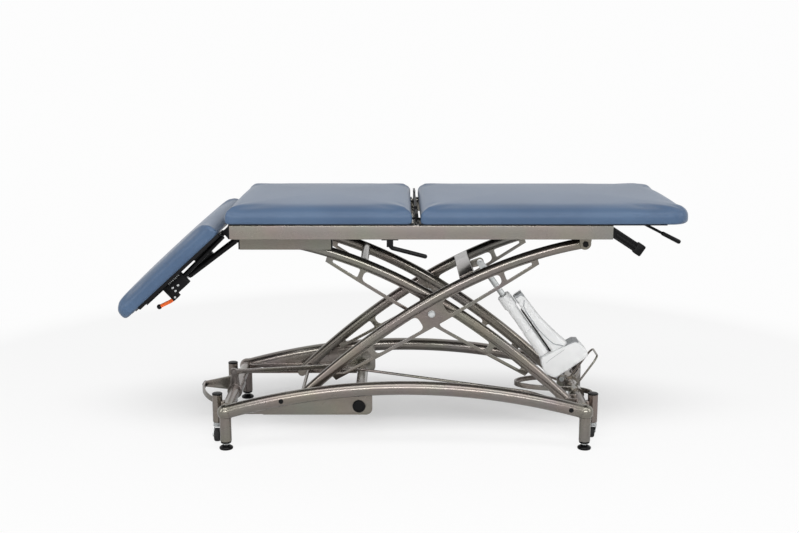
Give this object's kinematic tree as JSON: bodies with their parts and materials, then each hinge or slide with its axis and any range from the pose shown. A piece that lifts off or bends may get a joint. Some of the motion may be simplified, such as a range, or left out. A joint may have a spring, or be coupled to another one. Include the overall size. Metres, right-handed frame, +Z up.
{
  "type": "electric therapy couch",
  "caption": "Height-adjustable treatment couch: arched tube base with levelling feet and lifting castors, electric scissor lift, flat seat and leg pads, tilting head section.",
  "frame": {"origin": "centre of the base on the floor", "axes": "+X along the couch towards the leg end, +Y away from the side with the release levers, +Z up"},
  "size_m": [1.9484, 0.68, 0.865],
  "materials": {
    "powder_coat": "satin metallic powder coat",
    "black_steel": "satin black",
    "black_plastic": "matte",
    "zinc": "zinc plated",
    "white_plastic": "satin",
    "vinyl": "smooth coated upholstery",
    "orange_plastic": "satin",
    "grey_rubber": "matte"
  },
  "bodies": {
    "base": {"near_base_beam": "powder_coat", "far_base_beam": "powder_coat", "near_base_track": "powder_coat", "far_base_track": "powder_coat", "left_cross_tube": "powder_coat", "right_cross_tube": "powder_coat", "middle_cross_tube": "powder_coat"},
    "falling_arms": {"near_falling_arm": "powder_coat", "far_falling_arm": "powder_coat", "falling_cross_tube": "powder_coat", "near_pivot_bolt": "zinc", "far_pivot_bolt": "zinc"},
    "rising_arms": {"near_rising_arm": "powder_coat", "far_rising_arm": "powder_coat", "rising_cross_beam": "powder_coat", "rising_tie_tube": "powder_coat"},
    "top": {"top_frame": "powder_coat", "head_hinge_shaft": "zinc", "end_bar": "black_plastic", "mid_board": "black_steel", "mid_pad": "vinyl"},
    "drive": {"drive_housing": "white_plastic", "drive_guide": "white_plastic"},
    "drive_rod": {"drive_rod": "zinc"},
    "head": {"head_pad": "vinyl", "head_frame": "black_steel"},
    "leg": {"leg_pad": "vinyl", "leg_frame": "black_steel"},
    "leg_spring": {"leg_spring_cylinder": "black_steel"},
    "leg_spring_rod": {"leg_spring_rod": "zinc"},
    "head_spring": {"head_spring_cylinder": "black_steel"},
    "head_spring_rod": {"head_spring_rod": "zinc"},
    "head_lever": {"head_release_lever": "orange_plastic"},
    "leg_lever": {"leg_release_lever": "black_plastic"},
    "frame_lever": {"frame_lever": "black_plastic"},
    "left_crank": {"left_pedal_crank": "powder_coat"},
    "right_crank": {"right_pedal_crank": "powder_coat"},
    "pedal_link": {"pedal_link": "powder_coat"},
    "near_lower_roller": {"near_lower_roller": "black_plastic"},
    "near_upper_roller": {"near_upper_roller": "black_plastic"},
    "near_left_foot": {"near_left_foot": "black_plastic"},
    "near_left_castor_stem": {"near_left_castor_stem": "zinc"},
    "near_left_castor_fork": {"near_left_castor_fork": "zinc"},
    "near_left_castor_wheel": {"near_left_castor_wheel": "grey_rubber"},
    "near_right_foot": {"near_right_foot": "black_plastic"},
    "near_right_castor_stem": {"near_right_castor_stem": "zinc"},
    "near_right_castor_fork": {"near_right_castor_fork": "zinc"},
    "near_right_castor_wheel": {"near_right_castor_wheel": "grey_rubber"},
    "far_lower_roller": {"far_lower_roller": "black_plastic"},
    "far_upper_roller": {"far_upper_roller": "black_plastic"},
    "far_left_foot": {"far_left_foot": "black_plastic"},
    "far_left_castor_stem": {"far_left_castor_stem": "zinc"},
    "far_left_castor_fork": {"far_left_castor_fork": "zinc"},
    "far_left_castor_wheel": {"far_left_castor_wheel": "grey_rubber"},
    "far_right_foot": {"far_right_foot": "black_plastic"},
    "far_right_castor_stem": {"far_right_castor_stem": "zinc"},
    "far_right_castor_fork": {"far_right_castor_fork": "zinc"},
    "far_right_castor_wheel": {"far_right_castor_wheel": "grey_rubber"}
  },
  "joints": [
    {"name": "lift", "type": "hinge", "parent": "base", "child": "falling_arms", "pos_m": [0.584, 0, 0.134], "axis": [0, 1, 0], "range_deg": [-15, 6]},
    {"name": "arm_cross", "type": "hinge", "parent": "falling_arms", "child": "rising_arms", "pos_m": [0.092, 0, 0.468], "axis": [0, 1, 0], "range_deg": [-12.5, 30.5]},
    {"name": "top_level", "type": "hinge", "parent": "rising_arms", "child": "top", "pos_m": [0.617, 0, 0.72], "axis": [0, 1, 0], "range_deg": [-15.5, 6.5]},
    {"name": "drive_pivot", "type": "hinge", "parent": "base", "child": "drive", "pos_m": [0.5815, 0, 0.171], "axis": [0, 1, 0], "range_deg": [-20.5, 8.5]},
    {"name": "drive_stroke", "type": "slide", "parent": "drive", "child": "drive_rod", "axis": [-0.5737, 0, 0.8191], "range_m": [-0.118, 0.049]},
    {"name": "head_tilt", "type": "hinge", "parent": "top", "child": "head", "pos_m": [-0.581, 0, 0.7755], "axis": [0, 1, 0], "range_deg": [-10, 40]},
    {"name": "leg_tilt", "type": "hinge", "parent": "top", "child": "leg", "pos_m": [0.036, 0, 0.845], "axis": [0, -1, 0], "range_deg": [0, 58]},
    {"name": "leg_spring_pivot", "type": "hinge", "parent": "top", "child": "leg_spring", "pos_m": [0.066, 0, 0.75], "axis": [0, -1, 0], "range_deg": [-0.5, 64]},
    {"name": "leg_spring_stroke", "type": "slide", "parent": "leg_spring", "child": "leg_spring_rod", "axis": [0.9967, 0, 0.0807], "range_m": [-0.002, 0.125]},
    {"name": "head_spring_pivot", "type": "hinge", "parent": "top", "child": "head_spring", "pos_m": [-0.54, -0.1, 0.755], "axis": [0, 1, 0], "range_deg": [-12, 44]},
    {"name": "head_spring_stroke", "type": "slide", "parent": "head_spring", "child": "head_spring_rod", "axis": [-0.7991, 0, -0.6011], "range_m": [-0.025, 0.03]},
    {"name": "head_lever", "type": "hinge", "parent": "head", "child": "head_lever", "pos_m": [-0.7948, -0.226, 0.53499], "axis": [0, 1, 0], "range_deg": [0, 10], "stiffness_Nm_per_rad": 0.5},
    {"name": "leg_lever", "type": "hinge", "parent": "leg", "child": "leg_lever", "pos_m": [0.822, -0.15, 0.782], "axis": [0, -1, 0], "range_deg": [0, 12], "stiffness_Nm_per_rad": 1},
    {"name": "frame_lever", "type": "hinge", "parent": "top", "child": "frame_lever", "pos_m": [-0.052, -0.31, 0.736], "axis": [0, -1, 0], "range_deg": [0, 12], "stiffness_Nm_per_rad": 1},
    {"name": "castor_pedal", "type": "hinge", "parent": "base", "child": "left_crank", "pos_m": [-0.628, 0, 0.134], "axis": [0, 1, 0], "range_deg": [-15, 0]},
    {"name": "right_pedal", "type": "hinge", "parent": "base", "child": "right_crank", "pos_m": [0.628, 0, 0.134], "axis": [0, 1, 0], "range_deg": [-0.5, 20]},
    {"name": "link_slide", "type": "slide", "parent": "base", "child": "pedal_link", "axis": [1, 0, 0], "range_m": [-0.0212, 0.0005]},
    {"name": "near_lower_roller_spin", "type": "hinge", "parent": "rising_arms", "child": "near_lower_roller", "pos_m": [-0.4, -0.229, 0.134], "axis": [0, 1, 0], "continuous": true},
    {"name": "near_upper_roller_spin", "type": "hinge", "parent": "falling_arms", "child": "near_upper_roller", "pos_m": [-0.433, -0.181, 0.72], "axis": [0, 1, 0], "continuous": true},
    {"name": "near_left_foot_turn", "type": "hinge", "parent": "base", "child": "near_left_foot", "pos_m": [-0.628, -0.283, 0], "axis": [0, 0, 1], "continuous": true},
    {"name": "near_left_castor_lift", "type": "slide", "parent": "base", "child": "near_left_castor_stem", "axis": [0, 0, 1], "range_m": [-0.0125, 0.0005]},
    {"name": "near_left_castor_swivel", "type": "hinge", "parent": "near_left_castor_stem", "child": "near_left_castor_fork", "pos_m": [-0.669, -0.193, 0.0577], "axis": [0, 0, 1], "continuous": true},
    {"name": "near_left_castor_spin", "type": "hinge", "parent": "near_left_castor_fork", "child": "near_left_castor_wheel", "pos_m": [-0.669, -0.213, 0.026], "axis": [1, 0, 0], "continuous": true},
    {"name": "near_right_foot_turn", "type": "hinge", "parent": "base", "child": "near_right_foot", "pos_m": [0.628, -0.283, 0], "axis": [0, 0, 1], "continuous": true},
    {"name": "near_right_castor_lift", "type": "slide", "parent": "base", "child": "near_right_castor_stem", "axis": [0, 0, 1], "range_m": [-0.0125, 0.0005]},
    {"name": "near_right_castor_swivel", "type": "hinge", "parent": "near_right_castor_stem", "child": "near_right_castor_fork", "pos_m": [0.669, -0.193, 0.0577], "axis": [0, 0, 1], "continuous": true},
    {"name": "near_right_castor_spin", "type": "hinge", "parent": "near_right_castor_fork", "child": "near_right_castor_wheel", "pos_m": [0.669, -0.173, 0.026], "axis": [1, 0, 0], "continuous": true},
    {"name": "far_lower_roller_spin", "type": "hinge", "parent": "rising_arms", "child": "far_lower_roller", "pos_m": [-0.4, 0.229, 0.134], "axis": [0, 1, 0], "continuous": true},
    {"name": "far_upper_roller_spin", "type": "hinge", "parent": "falling_arms", "child": "far_upper_roller", "pos_m": [-0.433, 0.181, 0.72], "axis": [0, 1, 0], "continuous": true},
    {"name": "far_left_foot_turn", "type": "hinge", "parent": "base", "child": "far_left_foot", "pos_m": [-0.628, 0.283, 0], "axis": [0, 0, 1], "continuous": true},
    {"name": "far_left_castor_lift", "type": "slide", "parent": "base", "child": "far_left_castor_stem", "axis": [0, 0, 1], "range_m": [-0.0125, 0.0005]},
    {"name": "far_left_castor_swivel", "type": "hinge", "parent": "far_left_castor_stem", "child": "far_left_castor_fork", "pos_m": [-0.669, 0.193, 0.0577], "axis": [0, 0, 1], "continuous": true},
    {"name": "far_left_castor_spin", "type": "hinge", "parent": "far_left_castor_fork", "child": "far_left_castor_wheel", "pos_m": [-0.669, 0.173, 0.026], "axis": [1, 0, 0], "continuous": true},
    {"name": "far_right_foot_turn", "type": "hinge", "parent": "base", "child": "far_right_foot", "pos_m": [0.628, 0.283, 0], "axis": [0, 0, 1], "continuous": true},
    {"name": "far_right_castor_lift", "type": "slide", "parent": "base", "child": "far_right_castor_stem", "axis": [0, 0, 1], "range_m": [-0.0125, 0.0005]},
    {"name": "far_right_castor_swivel", "type": "hinge", "parent": "far_right_castor_stem", "child": "far_right_castor_fork", "pos_m": [0.669, 0.193, 0.0577], "axis": [0, 0, 1], "continuous": true},
    {"name": "far_right_castor_spin", "type": "hinge", "parent": "far_right_castor_fork", "child": "far_right_castor_wheel", "pos_m": [0.669, 0.213, 0.026], "axis": [1, 0, 0], "continuous": true}
  ],
  "couplings": [
    {"joint": "arm_cross", "follows": "lift", "ratio": -2},
    {"joint": "top_level", "follows": "lift", "ratio": 1},
    {"joint": "drive_pivot", "follows": "lift", "ratio": 1.178},
    {"joint": "drive_stroke", "follows": "lift", "m_per_rad": 0.42606},
    {"joint": "leg_spring_pivot", "follows": "leg_tilt", "ratio": 0.96462},
    {"joint": "leg_spring_stroke", "follows": "leg_tilt", "m_per_rad": 0.094445},
    {"joint": "head_spring_pivot", "follows": "head_tilt", "ratio": 0.9156},
    {"joint": "head_spring_stroke", "follows": "head_tilt", "m_per_rad": 0.034088},
    {"joint": "right_pedal", "follows": "castor_pedal", "ratio": -1.3},
    {"joint": "link_slide", "follows": "castor_pedal", "m_per_rad": 0.078},
    {"joint": "near_left_castor_lift", "follows": "castor_pedal", "m_per_rad": 0.0458},
    {"joint": "near_right_castor_lift", "follows": "castor_pedal", "m_per_rad": 0.0458},
    {"joint": "far_left_castor_lift", "follows": "castor_pedal", "m_per_rad": 0.0458},
    {"joint": "far_right_castor_lift", "follows": "castor_pedal", "m_per_rad": 0.0458}
  ]
}
